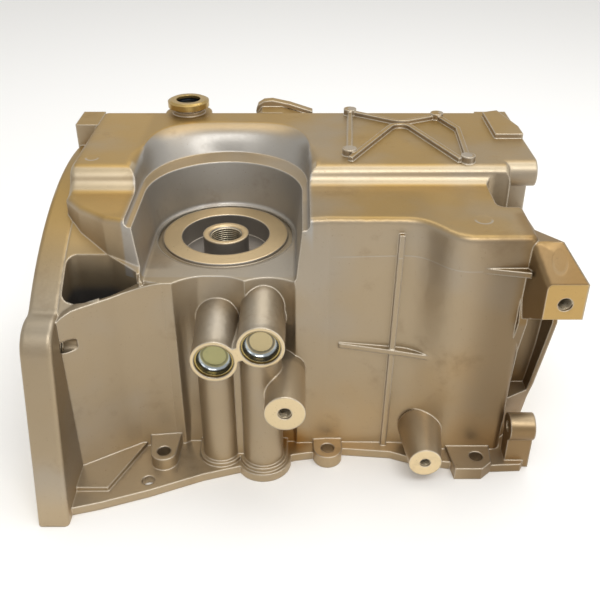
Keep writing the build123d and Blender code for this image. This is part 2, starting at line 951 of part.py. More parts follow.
# -------------------------------------------------------------------- casting
with BuildPart() as pan_casting:
    add(sump.part)
    add(shoulder.part)
    add(plate.part)
    with BuildSketch(level(deck_height)):
        add(
            polygon(
                Plane.XY,
                (
                    (left, plate_corner_front_y),
                    (left + plate_corner_depth, plate_corner_front_y),
                    (left + plate_corner_depth, back_wall_y),
                    (left, back_wall_y),
                ),
            )
        )
    extrude(amount=-30.0)
    with BuildSketch(level(deck_height - 1.0)):
        add(polygon(Plane.XY, corner_pad_points))
    extrude(amount=corner_pad_rise + 1.0)
    add(flange.part)
    add(end_flange.part)
    add(arm.part)
    extrude(polygon(facing(back - 7.0), ear_points), amount=20.0)
    add(plug_bosses.part)
    add(round_boss.part)
    add(cone_boss.part)
    add(wall_ribs.part)
    add(deck_ribs.part)
    add(recess[0], mode=Mode.SUBTRACT)
    add(recess[1], mode=Mode.SUBTRACT)
    add(cavity.part, mode=Mode.SUBTRACT)
    add(drain_boss.part)
    add(columns.part)
    add(galleries.part)
    add(pocket.part, mode=Mode.SUBTRACT)
    extrude(plate_recess.sketch, amount=plate_recess_depth, mode=Mode.SUBTRACT)
    extrude(end_recess.sketch, amount=-end_recess_depth, mode=Mode.SUBTRACT)

    # Filter seat: ring face with a groove outside it, a deep annulus and a stub
    annulus_floor_z = recess_floor_z - annulus_depth
    stub_top_z = recess_floor_z + stub_rise
    with BuildSketch(level(recess_floor_z)):
        with Locations((filter_x, filter_y)):
            Circle(seat_outer_radius)
    extrude(amount=seat_rise)
    with BuildSketch(level(recess_floor_z)):
        with Locations((filter_x, filter_y)):
            Circle(seat_groove_radius)
            Circle(seat_outer_radius, mode=Mode.SUBTRACT)
    extrude(amount=-seat_groove_depth, mode=Mode.SUBTRACT)
    with BuildSketch(level(annulus_floor_z)):
        with Locations((filter_x, filter_y)):
            Circle(seat_inner_radius)
            Circle(stub_radius, mode=Mode.SUBTRACT)
    extrude(amount=annulus_depth + seat_rise + 1.0, mode=Mode.SUBTRACT)
    with BuildSketch(level(recess_floor_z)):
        with Locations((filter_x, filter_y)):
            Circle(stub_radius)
    extrude(amount=stub_rise)
    with BuildSketch(level(stub_top_z)):
        with Locations((filter_x, filter_y)):
            Circle(filter_thread_radius)
    extrude(amount=-filter_thread_length, mode=Mode.SUBTRACT)
    chamfer(
        pan_casting.edges()
        .filter_by(GeomType.CIRCLE)
        .filter_by_position(Axis.Z, stub_top_z - 0.01, stub_top_z + 0.01)
        .sort_by(SortBy.RADIUS)[0],
        filter_thread_chamfer,
    )

    # Oil ways
    for bore_x, bore_z in cross_bores:
        extrude(
            disc(facing(plug_face_y), bore_x, bore_z, plug_radius + plug_side_gap),
            amount=-plug_set_back - plug_depth,
            mode=Mode.SUBTRACT,
        )
        extrude(
            disc(facing(plug_face_y), bore_x, bore_z, cross_bore_radius),
            amount=plug_face_y - filter_y - cross_bore_radius / 2,
            mode=Mode.SUBTRACT,
        )
    extrude(
        disc(level(plug_left_z), filter_x, filter_y, filter_thread_radius - 3.0),
        amount=stub_top_z - filter_thread_length - plug_left_z + 1.0,
        mode=Mode.SUBTRACT,
    )
    extrude(
        disc(level(plug_right_z), plug_right_x - 3.5, filter_y, 5.0),
        amount=annulus_floor_z - plug_right_z + 1.0,
        mode=Mode.SUBTRACT,
    )
    extrude(
        disc(level(0), column_left_x, column_left_y, column_bore_radius),
        amount=plug_left_z,
        mode=Mode.SUBTRACT,
    )
    extrude(
        disc(level(0), column_right_x, column_right_y, column_bore_radius),
        amount=plug_right_z,
        mode=Mode.SUBTRACT,
    )

    # Tapped holes
    extrude(
        disc(facing(round_boss_face_y), round_boss_x, round_boss_z, tapped_m10_radius),
        amount=-tapped_m10_depth,
        mode=Mode.SUBTRACT,
    )
    extrude(
        disc(facing(cone_boss_face_y), cone_boss_x, cone_boss_z, tapped_m8_radius),
        amount=-tapped_m8_depth,
        mode=Mode.SUBTRACT,
    )
    extrude(
        disc(facing(arm_face_y), right - arm_hole_inset, arm_hole_z, tapped_m10_radius),
        amount=-arm_hole_depth,
        mode=Mode.SUBTRACT,
    )
    with BuildSketch(level(drain_seat_z)):
        with Locations((drain_x, drain_y)):
            Circle(drain_thread_radius)
    extrude(amount=-40.0, mode=Mode.SUBTRACT)

    # Bolt holes
    with BuildSketch(level(0)):
        with Locations(near_lug, middle_lug, far_lug, *rear_lugs):
            Circle(flange_bolt_radius)
        with Locations((left + 62.7, front + 33.5)):
            Circle(flange_small_hole_radius)
    extrude(amount=near_lug_top + 1.0, mode=Mode.SUBTRACT)
    with BuildSketch(across(left)):
        with Locations(*plate_bolts):
            Circle(plate_bolt_radius)
    extrude(amount=plate_thickness, mode=Mode.SUBTRACT)
    with BuildSketch(across(end_face_x)):
        with Locations(
            (end_top_boss_y, deck_height - end_boss_radius), (end_low_boss_y, end_low_boss_z)
        ):
            Circle(end_bolt_radius)
    extrude(amount=-17.0, mode=Mode.SUBTRACT)

    # Notch in the far shelf
    with BuildSketch(level(notch_floor_z)):
        with Locations((notch_x, notch_y)):
            RectangleRounded(notch_length, notch_width, notch_corner_radius)
    extrude(amount=deck_height, mode=Mode.SUBTRACT)

pan_casting.part.label = "pan_casting"
export_step(pan_casting.part, "parts/pan_casting.step")

# ------------------------------------------------------------------ core plugs
def core_plug(x, z):
    """A pressed sheet cup with its open side outward, in the mouth of a cross bore."""
    mouth_y = plug_face_y + plug_set_back
    with BuildPart() as plug:
        extrude(disc(facing(mouth_y), x, z, plug_radius), amount=-plug_depth)
        extrude(
            disc(facing(mouth_y), x, z, plug_radius - plug_sheet),
            amount=plug_sheet - plug_depth,
            mode=Mode.SUBTRACT,
        )
        fillet(
            plug.edges().filter_by(GeomType.CIRCLE).sort_by(Axis.Y)[-1],
            plug_sheet,
        )
        fillet(
            plug.edges().filter_by(GeomType.CIRCLE).filter_by_position(
                Axis.Y, mouth_y + plug_depth / 2, mouth_y + plug_depth - plug_sheet / 2
            ).sort_by(SortBy.RADIUS)[0],
            plug_inner_bend,
        )
    return plug.part


core_plug_left = core_plug(plug_left_x, plug_left_z)
core_plug_left.label = "core_plug_left"
export_step(core_plug_left, "parts/core_plug_left.step")

core_plug_right = core_plug(plug_right_x, plug_right_z)
core_plug_right.label = "core_plug_right"
export_step(core_plug_right, "parts/core_plug_right.step")

# ------------------------------------------------------- drain plug and washer
with BuildPart() as drain_plug_washer:
    with BuildSketch(level(drain_seat_z)):
        with Locations((drain_x, drain_y)):
            Circle(washer_radius)
            Circle(drain_thread_radius, mode=Mode.SUBTRACT)
    extrude(amount=washer_thickness)

drain_plug_washer.part.label = "drain_plug_washer"
export_step(drain_plug_washer.part, "parts/drain_plug_washer.step")

head_z = drain_seat_z + washer_thickness
with BuildPart() as drain_plug:
    extrude(disc(level(head_z), drain_x, drain_y, drain_head_radius), amount=drain_head_height)
    chamfer(
        drain_plug.edges().filter_by(GeomType.CIRCLE).sort_by(Axis.Z)[-1],
        1.2,
    )
    extrude(
        disc(level(head_z), drain_x, drain_y, drain_thread_radius - drain_thread_gap),
        amount=-drain_shank_length,
    )
    with BuildSketch(level(head_z + drain_head_height)):
        with Locations((drain_x, drain_y)):
            RegularPolygon(drain_hex_radius, 6)
    extrude(amount=-drain_hex_depth, mode=Mode.SUBTRACT)

drain_plug.part.label = "drain_plug"
export_step(drain_plug.part, "parts/drain_plug.step")
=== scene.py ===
import math

import bpy
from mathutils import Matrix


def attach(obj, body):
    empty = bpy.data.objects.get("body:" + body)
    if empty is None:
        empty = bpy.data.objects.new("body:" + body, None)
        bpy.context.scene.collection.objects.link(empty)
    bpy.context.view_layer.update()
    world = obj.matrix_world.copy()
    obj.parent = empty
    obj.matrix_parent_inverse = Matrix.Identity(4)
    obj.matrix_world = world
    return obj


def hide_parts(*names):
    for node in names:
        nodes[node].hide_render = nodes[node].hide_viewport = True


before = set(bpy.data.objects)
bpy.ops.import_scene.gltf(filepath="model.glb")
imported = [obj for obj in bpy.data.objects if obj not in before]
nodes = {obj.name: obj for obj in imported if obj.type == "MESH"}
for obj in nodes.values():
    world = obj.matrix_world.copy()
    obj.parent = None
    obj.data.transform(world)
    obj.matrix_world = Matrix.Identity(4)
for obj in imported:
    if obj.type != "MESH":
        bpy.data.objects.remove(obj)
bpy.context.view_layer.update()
mm = 0.001  # sizes and places below are in millimetres, in the casting's own frame
softEdge = 0.15  # how softly a mask ends where nothing else is given


class Graph:
    # Adds shader nodes to one tree, with plain values or sockets as inputs

    def __init__(self, tree):
        self.tree = tree

    def node(self, kind, **settings):
        made = self.tree.nodes.new(kind)
        for key, value in settings.items():
            setattr(made, key, value)
        return made

    def feed(self, socket, value):
        if isinstance(value, bpy.types.NodeSocket):
            self.tree.links.new(value, socket)
        elif value is not None:
            socket.default_value = value

    def math(self, operation, a, b=None, c=None):
        made = self.node("ShaderNodeMath", operation=operation)
        for socket, value in zip(made.inputs, (a, b, c)):
            self.feed(socket, value)
        return made.outputs[0]

    def ramp(self, value, low, high, start=0.0, end=1.0):
        made = self.node("ShaderNodeMapRange", interpolation_type="SMOOTHSTEP")
        for socket, given in zip(made.inputs, (value, low, high, start, end)):
            self.feed(socket, given)
        return made.outputs[0]

    def mix(self, share, a, b, blend="MIX"):
        made = self.node("ShaderNodeMix", data_type="RGBA", blend_type=blend)
        for place, value in ((0, share), (6, a), (7, b)):
            self.feed(made.inputs[place], value)
        return made.outputs[2]

    def scaled(self, vector, factor):
        made = self.node("ShaderNodeVectorMath", operation="SCALE")
        self.feed(made.inputs[0], vector)
        self.feed(made.inputs["Scale"], factor)
        return made.outputs[0]

    def noise(self, vector, scale, detail, roughness):
        made = self.node("ShaderNodeTexNoise")
        self.feed(made.inputs["Vector"], vector)
        made.inputs["Scale"].default_value = scale
        made.inputs["Detail"].default_value = detail
        made.inputs["Roughness"].default_value = roughness
        return made.outputs["Fac"]

    def bevel(self, radius, samples):
        made = self.node("ShaderNodeBevel", samples=samples)
        made.inputs["Radius"].default_value = radius * mm
        return made.outputs[0]

    def split(self, vector):
        made = self.node("ShaderNodeSeparateXYZ")
        self.feed(made.inputs[0], vector)
        return made.outputs

    def place(self):
        # Object coordinates, and their x, y and z in millimetres
        point = self.node("ShaderNodeTexCoord").outputs["Object"]
        x, y, z = self.split(self.scaled(point, 1 / mm))
        return {"point": point, "x": x, "y": y, "z": z}

    def radius(self, a, b, centre):
        # Distance from an axis that crosses a and b at the centre
        stepA = self.math("SUBTRACT", a, centre[0])
        stepB = self.math("SUBTRACT", b, centre[1])
        squareB = self.math("MULTIPLY", stepB, stepB)
        return self.math("SQRT", self.math("MULTIPLY_ADD", stepA, stepA, squareB))

    def under(self, value, limit, soft=softEdge):
        return self.ramp(value, limit - soft, limit + soft, 1.0, 0.0)

    def over(self, value, limit, soft=softEdge):
        return self.ramp(value, limit - soft, limit + soft, 0.0, 1.0)

    def both(self, *masks):
        product = masks[0]
        for mask in masks[1:]:
            product = self.math("MULTIPLY", product, mask)
        return product

    def either(self, *masks):
        widest = masks[0]
        for mask in masks[1:]:
            widest = self.math("MAXIMUM", widest, mask)
        return widest

    def invert(self, mask):
        return self.math("SUBTRACT", 1.0, mask)

    def region(self, axes, limits):
        # One mask from limits, each an axis, a side, a value and sometimes how soft it is
        sides = {"under": self.under, "over": self.over}
        return self.both(*[sides[side](axes[axis], *limit) for axis, side, *limit in limits])

    def metalSkin(self, color, look):
        # The mottled skin that every metal here wears
        made = self.node("ShaderNodeGroup")
        made.node_tree = mottle
        self.feed(made.inputs["Color"], color)
        self.feed(made.inputs["Stain Color"], look["tint"])
        self.feed(made.inputs["Tone"], look["tone"])
        self.feed(made.inputs["Stain"], look["stain"])
        return made.outputs


def makeGroup(name, inputs, outputs):
    tree = bpy.data.node_groups.new(name, "ShaderNodeTree")
    for label, kind, value in inputs:
        tree.interface.new_socket(name=label, in_out="INPUT", socket_type=kind).default_value = value
    for label, kind in outputs:
        tree.interface.new_socket(name=label, in_out="OUTPUT", socket_type=kind)
    graph = Graph(tree)
    return tree, graph, graph.node("NodeGroupInput").outputs, graph.node("NodeGroupOutput").inputs


def newMaterial(name):
    material = bpy.data.materials.new(name)
    material.use_nodes = True
    tree = material.node_tree
    tree.nodes.clear()
    graph = Graph(tree)
    shader = graph.node("ShaderNodeBsdfPrincipled")
    output = graph.node("ShaderNodeOutputMaterial")
    tree.links.new(shader.outputs[0], output.inputs[0])
    return material, graph, shader


def finishMetal(graph, shader, skin, look, roughness, height, bevelled=None):
    # Colour, gloss and bump of one metal, from its skin
    graph.feed(shader.inputs["Base Color"], skin["Color"])
    graph.feed(shader.inputs["Roughness"], graph.math("ADD", roughness, skin["Rough"]))
    shader.inputs["Metallic"].default_value = look["metallic"]
    bump = graph.node("ShaderNodeBump")
    bump.inputs["Strength"].default_value = look["bumpStrength"]
    bump.inputs["Distance"].default_value = look["bumpDepth"] * mm
    graph.feed(bump.inputs["Height"], height)
    graph.feed(bump.inputs["Normal"], bevelled)
    graph.feed(shader.inputs["Normal"], bump.outputs[0])


def dress(piece, material):
    piece.data.materials.clear()
    piece.data.materials.append(material)


# Mottled tone, faint stains, a fine grain and dark specks, shared by all the metals
mottleLook = {
    # Scale, detail and roughness of each noise
    "broad": (16.0, 4.0, 0.55),
    "stain": (34.0, 5.0, 0.65),
    "grain": (520.0, 3.0, 0.6),
    "speck": (950.0, 1.0, 0.4),
    "stainFrom": (0.56, 0.74),
    "speckFrom": (0.73, 0.78),
    "grainTone": 0.08,
    "speckShare": 0.35,
    "speckDepth": 0.6,
    "grainRough": 0.18,
    "stainRough": 0.08,
    "broadRough": 0.15,
}
mottle, g, given, gives = makeGroup(
    "metalMottle",
    (
        ("Color", "NodeSocketColor", (0.5, 0.5, 0.5, 1.0)),
        ("Stain Color", "NodeSocketColor", (0.2, 0.15, 0.1, 1.0)),
        ("Tone", "NodeSocketFloat", 0.12),
        ("Stain", "NodeSocketFloat", 0.2),
    ),
    (("Color", "NodeSocketColor"), ("Rough", "NodeSocketFloat"), ("Height", "NodeSocketFloat")),
)
point = g.node("ShaderNodeTexCoord").outputs["Object"]
broad = g.math("SUBTRACT", g.noise(point, *mottleLook["broad"]), 0.5)
stain = g.ramp(g.noise(point, *mottleLook["stain"]), *mottleLook["stainFrom"])
grain = g.noise(point, *mottleLook["grain"])
grainSwing = g.math("SUBTRACT", grain, 0.5)
speck = g.ramp(g.noise(point, *mottleLook["speck"]), *mottleLook["speckFrom"])
lift = g.math("MULTIPLY_ADD", broad, given["Tone"], 1.0)
lift = g.math("MULTIPLY_ADD", grainSwing, mottleLook["grainTone"], lift)
toned = g.scaled(given["Color"], lift)
stained = g.mix(g.math("MULTIPLY", stain, given["Stain"]), toned, given["Stain Color"])
speckShare = g.math("MULTIPLY", speck, mottleLook["speckShare"])
g.feed(gives["Color"], g.mix(speckShare, stained, given["Stain Color"]))
roughShift = g.math("MULTIPLY", stain, mottleLook["stainRough"])
roughShift = g.math("MULTIPLY_ADD", grainSwing, mottleLook["grainRough"], roughShift)
g.feed(gives["Rough"], g.math("MULTIPLY_ADD", broad, mottleLook["broadRough"], roughShift))
g.feed(gives["Height"], g.math("MULTIPLY_ADD", speck, -mottleLook["speckDepth"], grain))
print("metal skin done")

# Forms cut and joined on the casting
shape = {
    # Each station of a wall gives its outer point, its inner point and the height of its rim
    "shoulderWall": (
        ((-142.5, -87.7), (-142.5, -72.5), 119.5),
        ((-139.3, -85.8), (-139.3, -73.0), 122.2),
        ((-133.7, -82.3), (-133.7, -74.2), 124.9),
        ((-128.6, -79.1), (-128.6, -73.8), 125.3),
        ((-120.9, -74.3), (-120.9, -71.3), 125.6),
        ((-113.0, -69.4), (-113.0, -66.4), 126.0),
        ((-106.0, -65.1), (-106.0, -61.5), 126.9),
        ((-97.0, -64.0), (-97.0, -57.0), 129.6),
        ((-89.8, -63.2), (-89.8, -57.0), 131.3),
        ((-83.5, -62.6), (-83.5, -57.0), 132.0),
    ),
    "shoulderFoot": 3.0,
    "rimCut": (
        ((-119.0, -79.0), (-119.0, -66.0), 125.55),
        ((-112.0, -75.0), (-112.0, -62.5), 126.0),
        ((-106.0, -71.0), (-106.0, -59.3), 126.8),
        ((-96.8, -68.0), (-96.8, -57.2), 129.5),
    ),
    "rimCutTop": 145.0,
    "boltEnd": (-133.0, -84.5, 102.0),
    "boltRadius": 4.3,
    "boltLength": 14.0,
    # Outline of the groove in y and z, and where it starts and ends in x
    "endGroove": (
        (-95.0, 121.0), (-62.0, 121.0), (-59.5, 100.0), (-57.0, 84.0),
        (-49.0, 56.0), (-46.0, 46.0), (-95.0, 46.0),
    ),
    "endGrooveX": (133.8, 148.6),
    # Each ring of the filter recess gives its height, half width, reach and squareness
    "recessCentre": (-49.5, 14.5),
    "recessSteps": 32,
    "recessRings": (
        (163.2, 54.0, 54.2, 2.0),
        (169.0, 54.1, 56.2, 2.5),
        (174.0, 54.4, 58.8, 2.9),
        (177.0, 54.9, 62.0, 3.2),
        (178.9, 55.4, 65.8, 3.4),
        (179.7, 55.9, 69.2, 3.5),
        (180.3, 56.3, 73.0, 3.6),
        (184.0, 56.5, 74.0, 3.6),
    ),
    "recessFill": ((158.0, 59.6, 62.0, 2.2), (168.0, 60.0, 65.5, 2.6), (174.5, 60.4, 69.5, 3.0)),
    "recessWall": 59.0,
    "recessMiddle": 165.0,
    "recessDepth": 40.0,
    "drainAxis": (-82.5, 105.0),
    "drainNeck": 11.8,
    "drainClear": 19.0,
    "drainSeat": (180.03, 186.0),
    # Outlines of the ear in x and z, and of the ground cleared for it in x, y and z
    "ear": (
        (-33.0, 172.0), (-33.6, 177.0), (-32.0, 181.4), (-27.5, 184.3),
        (-21.0, 184.8), (-8.0, 182.0), (9.0, 176.4), (9.0, 172.0),
    ),
    "earHollow": (
        (-27.5, 174.0), (-28.0, 178.6), (-25.0, 181.0), (-19.0, 181.2), (-8.0, 178.8), (3.0, 175.0),
    ),
    "earY": (117.0, 124.0),
    "earHollowDepth": 3.0,
    "earGround": (
        (-40.0, 101.0, 180.03), (12.0, 101.0, 180.03), (12.0, 117.0, 180.03), (-40.0, 117.0, 180.03),
    ),
    "earGroundHeight": 10.0,
    "overlap": 1.0,
    "barSides": 48,
    "fineSides": 96,
    "mergeWithin": 0.001,
    "smoothAngle": 34.0,
}


def selectAlone(piece):
    bpy.ops.object.select_all(action="DESELECT")
    bpy.context.view_layer.objects.active = piece
    piece.select_set(True)


def placeCorners(piece, corners):
    for vertex, corner in zip(piece.data.vertices, corners):
        vertex.co = [value * mm for value in corner]


def extrudeSelected(sweep=(0.0, 0.0, 0.0)):
    bpy.ops.object.mode_set(mode="EDIT")
    bpy.ops.mesh.extrude_region_move(TRANSFORM_OT_translate={"value": [value * mm for value in sweep]})
    bpy.ops.object.mode_set(mode="OBJECT")


def faceOutwards():
    bpy.ops.object.mode_set(mode="EDIT")
    bpy.ops.mesh.select_all(action="SELECT")
    bpy.ops.mesh.normals_make_consistent(inside=False)
    bpy.ops.object.mode_set(mode="OBJECT")


def flatFrom(corners):
    # One flat face, selected all over
    bpy.ops.object.select_all(action="DESELECT")
    bpy.ops.mesh.primitive_circle_add(vertices=len(corners), radius=1.0, fill_type="NGON")
    placeCorners(bpy.context.object, corners)
    return bpy.context.object


def solidFrom(corners, sweep):
    # A flat outline extruded along one direction
    made = flatFrom(corners)
    extrudeSelected(sweep)
    faceOutwards()
    return made


def wallFrom(stations, endHeight):
    # A strip whose rim follows the stations, extruded to one height
    bpy.ops.object.select_all(action="DESELECT")
    bpy.ops.mesh.primitive_grid_add(x_subdivisions=len(stations) - 1, y_subdivisions=1, size=1.0)
    made = bpy.context.object
    placeCorners(made, [(*station[side], station[2]) for side in (0, 1) for station in stations])
    extrudeSelected((0.0, 0.0, -1.0))
    for vertex in made.data.vertices:
        if vertex.select:
            vertex.co.z = endHeight * mm
    faceOutwards()
    return made


def loftFrom(rings):
    # Rings with the same number of points, joined into one closed solid
    made = flatFrom(rings[0])
    for below, ring in zip(rings, rings[1:]):
        extrudeSelected()
        for vertex in made.data.vertices:
            if vertex.select:
                x, y = vertex.co.x / mm, vertex.co.y / mm
                nearest = min(range(len(below)), key=lambda step: math.dist((x, y), below[step][:2]))
                vertex.co = [value * mm for value in ring[nearest]]
    faceOutwards()
    return made


def recessRing(height, halfWidth, reach, squareness):
    # Plan of the recess at one height, from a round back to a squarer one
    centreX, centreY = shape["recessCentre"]
    power = 2 / squareness
    ring = []
    for step in range(shape["recessSteps"] + 1):
        angle = math.pi * step / shape["recessSteps"]
        across = math.copysign(abs(math.cos(angle)) ** power, math.cos(angle))
        ring.append((centreX + halfWidth * across, centreY + reach * abs(math.sin(angle)) ** power, height))
    return ring


def barrel(middle, radius, length, sides, turn=(0.0, 0.0, 0.0)):
    bpy.ops.object.select_all(action="DESELECT")
    at = [value * mm for value in middle]
    bpy.ops.mesh.primitive_cylinder_add(
        vertices=sides, radius=radius * mm, depth=length * mm, location=at, rotation=turn
    )
    bpy.ops.object.transform_apply(location=True, rotation=True, scale=True)
    return bpy.context.object


def combine(piece, tool, operation):
    selectAlone(piece)
    cut = piece.modifiers.new("shape", "BOOLEAN")
    cut.operation = operation
    cut.solver = "EXACT"
    cut.object = tool
    bpy.ops.object.modifier_apply(modifier="shape")
    bpy.data.objects.remove(tool)


def copyOf(nodeName, pieceName):
    # A merged copy of a node's mesh, ready to be shaped
    made = bpy.data.objects.new(pieceName, nodes[nodeName].data.copy())
    bpy.context.scene.collection.objects.link(made)
    selectAlone(made)
    bpy.ops.mesh.customdata_custom_splitnormals_clear()
    bpy.ops.object.mode_set(mode="EDIT")
    bpy.ops.mesh.select_all(action="SELECT")
    bpy.ops.mesh.remove_doubles(threshold=shape["mergeWithin"] * mm)
    bpy.ops.object.mode_set(mode="OBJECT")
    return made


def finishShape(piece):
    # Smooth shading that keeps the flat faces flat
    selectAlone(piece)
    bpy.ops.object.shade_smooth_by_angle(angle=math.radians(shape["smoothAngle"]))
    weighted = piece.modifiers.new("flats", "WEIGHTED_NORMAL")
    weighted.keep_sharp = True
    bpy.ops.object.modifier_apply(modifier="flats")


def shapeShoulder():
    combine(panBody, wallFrom(shape["rimCut"], shape["rimCutTop"]), "DIFFERENCE")
    combine(panBody, wallFrom(shape["shoulderWall"], shape["shoulderFoot"]), "UNION")
    endX, boltY, boltZ = shape["boltEnd"]
    middle = (endX - shape["boltLength"] / 2, boltY, boltZ)
    lyingInX = (0.0, math.pi / 2, 0.0)
    hole = barrel(middle, shape["boltRadius"], shape["boltLength"], shape["barSides"], lyingInX)
    combine(panBody, hole, "DIFFERENCE")


def shapeEndFlange():
    startX, endX = shape["endGrooveX"]
    groove = solidFrom([(startX, *corner) for corner in shape["endGroove"]], (endX - startX, 0.0, 0.0))
    combine(panBody, groove, "DIFFERENCE")


def shapeDrainBoss():
    low, high = shape["drainSeat"]
    middle = (*shape["drainAxis"], (low + high) / 2)
    ring = barrel(middle, shape["drainClear"], high - low, shape["fineSides"])
    neck = barrel(middle, shape["drainNeck"], 2 * (high - low), shape["fineSides"])
    combine(ring, neck, "DIFFERENCE")
    combine(panBody, ring, "DIFFERENCE")


def shapeEar():
    combine(panBody, solidFrom(shape["earGround"], (0.0, 0.0, shape["earGroundHeight"])), "DIFFERENCE")
    front, back = shape["earY"]
    ear = solidFrom([(x, front, z) for x, z in shape["ear"]], (0.0, back - front, 0.0))
    hollowFront = front - shape["overlap"]
    hollowSweep = (0.0, shape["earHollowDepth"] + shape["overlap"], 0.0)
    combine(ear, solidFrom([(x, hollowFront, z) for x, z in shape["earHollow"]], hollowSweep), "DIFFERENCE")
    combine(panBody, ear, "UNION")


def shapeRecess():
    fill = loftFrom([recessRing(*ring) for ring in shape["recessFill"]])
    middle = (*shape["recessCentre"], shape["recessMiddle"])
    core = barrel(middle, shape["recessWall"], shape["recessDepth"], shape["fineSides"])
    combine(fill, core, "DIFFERENCE")
    combine(panBody, fill, "UNION")
    combine(panBody, loftFrom([recessRing(*ring) for ring in shape["recessRings"]]), "DIFFERENCE")


panBody = copyOf("pan_casting", "panBody")
shapeShoulder()
shapeEndFlange()
shapeDrainBoss()
shapeEar()
shapeRecess()
finishShape(panBody)
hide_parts("pan_casting")
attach(panBody, "root")
print("casting shaped")

# The drain plug's head, with a wider flange and a round socket
plugShape = {
    "flange": (185.0, 189.0),
    "flangeRadius": 15.0,
    "socket": (186.4, 196.4),
    "socketRadius": 8.8,
    "socketSides": 72,
}
drainHead = copyOf("drain_plug", "drainPlugHead")
low, high = plugShape["flange"]
middle = (*shape["drainAxis"], (low + high) / 2)
combine(drainHead, barrel(middle, plugShape["flangeRadius"], high - low, shape["fineSides"]), "UNION")
low, high = plugShape["socket"]
middle = (*shape["drainAxis"], (low + high) / 2)
socket = barrel(middle, plugShape["socketRadius"], high - low, plugShape["socketSides"])
combine(drainHead, socket, "DIFFERENCE")
finishShape(drainHead)
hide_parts("drain_plug")
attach(drainHead, "root")
print("drain plug shaped")

# Colour of the pan casting, with painted light: faces that look up are painted golden, more so on the high
# levels, for warm light from above; the walls and low levels are greyer
# A pale tone laid on as a painted highlight
paintedHighlight = (0.46, 0.43, 0.385, 1.0)
cast = {
    "deck": (0.365, 0.238, 0.082, 1.0),
    "side": (0.365, 0.285, 0.185, 1.0),
    "level": (0.36, 0.30, 0.215, 1.0),
    "goldenFrom": (120.0, 160.0),
    "upwardFrom": (0.35, 0.95),
    # Patches, each with its colour and its share, laid on in this order
    "patches": {
        # Painted reflection: a cooler silver grey on the steep recess walls
        "recess": ((0.385, 0.37, 0.345, 1.0), 0.9),
        # Painted highlight: a pale band low on the recess back
        "recessSheen": (paintedHighlight, 0.55),
        "machined": ((0.64, 0.51, 0.31, 1.0), 1.0),
        "seat": ((0.60, 0.45, 0.25, 1.0), 1.0),
        "annulus": ((0.33, 0.30, 0.265, 1.0), 1.0),
        "plugGap": ((0.10, 0.07, 0.035, 1.0), 0.8),
        # Painted highlight on the near rims of the ejector marks and on the pads
        "markHighlights": (paintedHighlight, 0.55),
        # The raised parting line, with a painted highlight
        "parting": (paintedHighlight, 0.4),
        "amber": ((0.30, 0.16, 0.03, 1.0), 0.75),
        "warm": ((0.42, 0.25, 0.075, 1.0), 0.32),
        "cool": ((0.33, 0.315, 0.29, 1.0), 0.4),
        # Painted highlight: a pale cream band along the top of the step's fold
        "foldHighlight": ((0.52, 0.45, 0.33, 1.0), 0.6),
        # Painted shade: near black in the deep pocket
        "pocket": ((0.13, 0.13, 0.135, 1.0), 0.85),
    },
    "tints": {
        # Painted shade on the far end's bulge, warmer and darker
        "shadedFarEnd": (0.97, 0.88, 0.76, 1.0),
        "arm": (1.02, 0.90, 0.68, 1.0),
        "armFace": (1.20, 1.08, 0.76, 1.0),
    },
    "shades": {
        # Painted light and shade by place: below 1 is painted shade, above 1 painted light
        "shadedFarEnd": 0.6,
        "armTop": 0.78,
        "recessFloor": 0.72,
        "shelf": 0.86,
        "shoulder": 1.13,
        "bossSide": 1.35,
    },
    # Painted light reflected from the floor, paler towards the bottom
    "footBounceLight": 1.25,
    "footFrom": (55.0, 5.0),
    # Painted highlight along the rounded edges
    "edge": (0.62, 0.56, 0.46, 1.0),
    "edgeHighlightShare": 0.7,
    "edgeFrom": (0.80, 0.995),
    "edgeRadius": 1.8,
    "edgeSamples": 8,
    "tint": (0.17, 0.11, 0.055, 1.0),
    "tone": 0.22,
    "stain": 0.25,
    "roughness": 0.43,
    "machinedRoughness": 0.33,
    "metallic": 0.85,
    "bumpStrength": 0.3,
    "bumpDepth": 0.14,
    "seatMarkHeight": 0.5,
    "ejectorDepth": 2.0,
    "partingHeight": 1.5,
}
castPlaces = {
    "filterAxis": (-49.5, 0.5),
    "seatPitch": 0.6,
    "hue": (9.0, 3.0, 0.5),
    "warmFrom": (0.52, 0.72),
    "coolFrom": (0.48, 0.30),
    "amberAt": (-7.3, -63.0, 9.0),
    "amberFrom": (3.0, 17.0),
    "pocketSlope": 0.6216,
    "partingLine": (0.03, 144.5),
    "partingWidth": (0.35, 0.3),
    "steepFrom": (0.6, 0.93),
    "levelShare": 0.3,
    "foldFrom": (0.97, 0.85),
    "plugGapReach": 12.35,
    "padReach": (4.2, 0.4),
    "padsAbove": 184.0,
    "dishSoft": 0.4,
    "crescent": (1.4, 0.5),
    "crescentSide": 2.0,
    "cutSoft": 0.08,
}
